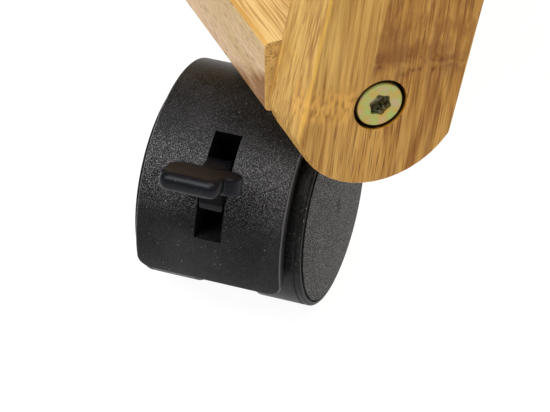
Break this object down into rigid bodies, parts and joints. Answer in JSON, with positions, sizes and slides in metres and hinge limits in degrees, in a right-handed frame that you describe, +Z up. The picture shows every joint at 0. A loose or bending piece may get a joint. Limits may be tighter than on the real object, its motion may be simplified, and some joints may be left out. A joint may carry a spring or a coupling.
{
  "type": "rolling cart",
  "caption": "Bamboo rolling cart with leaning flat legs, round-ended and bolted through, slatted shelves, a lift-off tray with hand holes, and hooded twin-wheel castors with brake levers.",
  "frame": {"origin": "On the floor under the middle of the cart, with the castors as they stand at rest.", "axes": "+Z is up, +X points to the cart's right-hand end and -Y is its front; the long rails run along X and the legs lean towards the middle in Y."},
  "size_m": [0.56, 0.5662, 0.7488],
  "materials": {
    "bamboo_leg": "clear satin lacquer on laminated bamboo strips, warm honey brown",
    "bamboo_rail": "clear satin lacquer on laminated bamboo, a little paler than the legs",
    "bamboo_slat": "clear satin lacquer on bamboo slats",
    "bamboo_tray": "clear satin lacquer on bamboo boards",
    "dowel_wood": "plain fluted hardwood dowel",
    "zinc_fastener": "yellow-passivated zinc plating, slightly iridescent",
    "plain_steel": "bright zinc-plated steel",
    "castor_hood": "black nylon with a fine spark-eroded texture",
    "castor_wheel": "smooth black nylon tread",
    "castor_cap": "dark grey-black disc with a fine grain",
    "castor_lever": "dark grey nylon, smooth and slightly worn"
  },
  "bodies": {
    "frame": {"front_left_leg": "bamboo_leg", "back_left_leg": "bamboo_leg", "front_right_leg": "bamboo_leg", "back_right_leg": "bamboo_leg", "lower_front_rail": "bamboo_rail", "lower_back_rail": "bamboo_rail", "middle_front_rail": "bamboo_rail", "middle_back_rail": "bamboo_rail", "upper_front_rail": "bamboo_rail", "upper_back_rail": "bamboo_rail", "left_end_rail": "bamboo_rail", "right_end_rail": "bamboo_rail", "lower_shelf_slats": "bamboo_slat", "middle_shelf_slats": "bamboo_slat", "lower_shelf_screws": "zinc_fastener", "middle_shelf_screws": "zinc_fastener", "frame_bolts": "zinc_fastener", "barrel_nuts": "plain_steel", "end_rail_dowels": "dowel_wood", "castor_sockets": "plain_steel", "front_right_castor_stem": "plain_steel", "front_left_castor_stem": "plain_steel", "back_right_castor_stem": "plain_steel", "back_left_castor_stem": "plain_steel"},
    "tray": {"tray_base": "bamboo_tray", "tray_front_side": "bamboo_tray", "tray_back_side": "bamboo_tray", "tray_left_end": "bamboo_tray", "tray_right_end": "bamboo_tray", "tray_cleats": "bamboo_tray", "tray_corner_screws": "zinc_fastener"},
    "front_right_castor": {"front_right_castor_hood": "castor_hood", "front_right_castor_axle": "plain_steel"},
    "front_right_castor_left_wheel_set": {"front_right_castor_left_wheel": "castor_wheel", "front_right_castor_left_wheel_cap": "castor_cap"},
    "front_right_castor_right_wheel_set": {"front_right_castor_right_wheel": "castor_wheel", "front_right_castor_right_wheel_cap": "castor_cap"},
    "front_right_castor_lever": {"front_right_castor_brake_lever": "castor_lever"},
    "front_left_castor": {"front_left_castor_hood": "castor_hood", "front_left_castor_axle": "plain_steel"},
    "front_left_castor_left_wheel_set": {"front_left_castor_left_wheel": "castor_wheel", "front_left_castor_left_wheel_cap": "castor_cap"},
    "front_left_castor_right_wheel_set": {"front_left_castor_right_wheel": "castor_wheel", "front_left_castor_right_wheel_cap": "castor_cap"},
    "back_right_castor": {"back_right_castor_hood": "castor_hood", "back_right_castor_axle": "plain_steel"},
    "back_right_castor_left_wheel_set": {"back_right_castor_left_wheel": "castor_wheel", "back_right_castor_left_wheel_cap": "castor_cap"},
    "back_right_castor_right_wheel_set": {"back_right_castor_right_wheel": "castor_wheel", "back_right_castor_right_wheel_cap": "castor_cap"},
    "back_left_castor": {"back_left_castor_hood": "castor_hood", "back_left_castor_axle": "plain_steel"},
    "back_left_castor_left_wheel_set": {"back_left_castor_left_wheel": "castor_wheel", "back_left_castor_left_wheel_cap": "castor_cap"},
    "back_left_castor_right_wheel_set": {"back_left_castor_right_wheel": "castor_wheel", "back_left_castor_right_wheel_cap": "castor_cap"},
    "back_left_castor_lever": {"back_left_castor_brake_lever": "castor_lever"}
  },
  "joints": [
    {"name": "tray_lift", "type": "slide", "parent": "frame", "child": "tray", "axis": [0, 0, 1], "range_m": [0, 0.06]},
    {"name": "front_right_castor_swivel", "type": "hinge", "parent": "frame", "child": "front_right_castor", "pos_m": [0.2204, -0.23, 0.06], "axis": [0, 0, 1], "continuous": true},
    {"name": "front_right_castor_left_roll", "type": "hinge", "parent": "front_right_castor", "child": "front_right_castor_left_wheel_set", "pos_m": [0.235, -0.24367, 0.025], "axis": [0.6833, 0.7302, 0], "continuous": true},
    {"name": "front_right_castor_right_roll", "type": "hinge", "parent": "front_right_castor", "child": "front_right_castor_right_wheel_set", "pos_m": [0.235, -0.24367, 0.025], "axis": [0.6833, 0.7302, 0], "continuous": true},
    {"name": "front_right_castor_brake", "type": "hinge", "parent": "front_right_castor", "child": "front_right_castor_lever", "pos_m": [0.235, -0.24367, 0.025], "axis": [0.6833, 0.7302, 0], "range_deg": [-12, 12]},
    {"name": "front_left_castor_swivel", "type": "hinge", "parent": "frame", "child": "front_left_castor", "pos_m": [-0.2204, -0.23, 0.06], "axis": [0, 0, 1], "continuous": true},
    {"name": "front_left_castor_left_roll", "type": "hinge", "parent": "front_left_castor", "child": "front_left_castor_left_wheel_set", "pos_m": [-0.22658, -0.24902, 0.025], "axis": [0.9511, -0.309, 0], "continuous": true},
    {"name": "front_left_castor_right_roll", "type": "hinge", "parent": "front_left_castor", "child": "front_left_castor_right_wheel_set", "pos_m": [-0.22658, -0.24902, 0.025], "axis": [0.9511, -0.309, 0], "continuous": true},
    {"name": "back_right_castor_swivel", "type": "hinge", "parent": "frame", "child": "back_right_castor", "pos_m": [0.2204, 0.23, 0.06], "axis": [0, 0, 1], "continuous": true},
    {"name": "back_right_castor_left_roll", "type": "hinge", "parent": "back_right_castor", "child": "back_right_castor_left_wheel_set", "pos_m": [0.22658, 0.24902, 0.025], "axis": [-0.9511, 0.309, 0], "continuous": true},
    {"name": "back_right_castor_right_roll", "type": "hinge", "parent": "back_right_castor", "child": "back_right_castor_right_wheel_set", "pos_m": [0.22658, 0.24902, 0.025], "axis": [-0.9511, 0.309, 0], "continuous": true},
    {"name": "back_left_castor_swivel", "type": "hinge", "parent": "frame", "child": "back_left_castor", "pos_m": [-0.2204, 0.23, 0.06], "axis": [0, 0, 1], "continuous": true},
    {"name": "back_left_castor_left_roll", "type": "hinge", "parent": "back_left_castor", "child": "back_left_castor_left_wheel_set", "pos_m": [-0.235, 0.24367, 0.025], "axis": [-0.6833, -0.7302, 0], "continuous": true},
    {"name": "back_left_castor_right_roll", "type": "hinge", "parent": "back_left_castor", "child": "back_left_castor_right_wheel_set", "pos_m": [-0.235, 0.24367, 0.025], "axis": [-0.6833, -0.7302, 0], "continuous": true},
    {"name": "back_left_castor_brake", "type": "hinge", "parent": "back_left_castor", "child": "back_left_castor_lever", "pos_m": [-0.235, 0.24367, 0.025], "axis": [-0.6833, -0.7302, 0], "range_deg": [-12, 12]}
  ]
}
